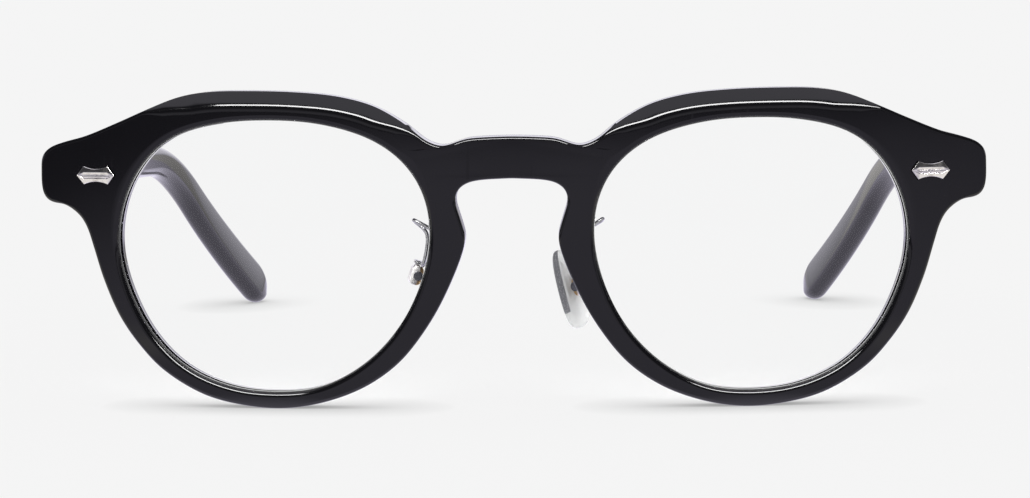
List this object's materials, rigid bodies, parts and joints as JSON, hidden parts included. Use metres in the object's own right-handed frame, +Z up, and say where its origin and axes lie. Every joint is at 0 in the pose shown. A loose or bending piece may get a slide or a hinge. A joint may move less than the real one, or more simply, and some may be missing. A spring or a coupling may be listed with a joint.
{
  "type": "round eyeglasses",
  "caption": "Round full-rim acetate eyeglasses with clear lenses, hinged temples that fold behind the front, and rocking nose pads on wire arms.",
  "frame": {"origin": "middle of the standing glasses' bounding box, on the surface that the rims and the temple tips stand on", "axes": "+Z up, -Y the way the wearer looks and the front faces, +Y along the open temples, +X the wearer's left"},
  "size_m": [0.1444, 0.1478, 0.0485],
  "materials": {
    "acetate": "polished black acetate",
    "lens": "clear, polished",
    "plaque": "polished silver colour with fine wear",
    "hinge": "satin nickel silver",
    "screw": "turned steel",
    "core_wire": "drawn wire",
    "pad_arm": "polished wire",
    "pad_box": "brazed, dull brass colour",
    "pad_core": "thin stamped strip",
    "nose_pad": "clear soft silicone"
  },
  "bodies": {
    "front": {"frame_front": "acetate", "lens_left": "lens", "lens_right": "lens", "rivet_plaque_left": "plaque", "rivet_plaque_right": "plaque", "hinge_front_leaf_left": "hinge", "hinge_front_leaf_right": "hinge", "hinge_screw_left": "screw", "hinge_screw_right": "screw", "pad_arm_left": "pad_arm", "pad_arm_right": "pad_arm", "pad_box_left": "pad_box", "pad_box_right": "pad_box", "pad_screw_left": "screw", "pad_screw_right": "screw"},
    "temple_left": {"temple_left": "acetate", "temple_core_wire_left": "core_wire", "hinge_temple_leaf_left": "hinge"},
    "temple_right": {"temple_right": "acetate", "temple_core_wire_right": "core_wire", "hinge_temple_leaf_right": "hinge"},
    "pad_left": {"nose_pad_left": "nose_pad", "pad_core_plate_left": "pad_core"},
    "pad_right": {"nose_pad_right": "nose_pad", "pad_core_plate_right": "pad_core"}
  },
  "joints": [
    {"name": "temple_left_fold", "type": "hinge", "parent": "front", "child": "temple_left", "pos_m": [0.06547, -0.06071, 0.0352], "axis": [0, 0, 1], "range_deg": [0, 86]},
    {"name": "temple_right_fold", "type": "hinge", "parent": "front", "child": "temple_right", "pos_m": [-0.06547, -0.06071, 0.0352], "axis": [0, 0, -1], "range_deg": [0, 77]},
    {"name": "pad_left_rock", "type": "hinge", "parent": "front", "child": "pad_left", "pos_m": [0.0102, -0.06247, 0.0176], "axis": [0.5736, 0.8192, 0], "range_deg": [-10, 10]},
    {"name": "pad_right_rock", "type": "hinge", "parent": "front", "child": "pad_right", "pos_m": [-0.01494, -0.06247, 0.0194], "axis": [-0.1564, 0.9877, 0], "range_deg": [-10, 10]}
  ]
}
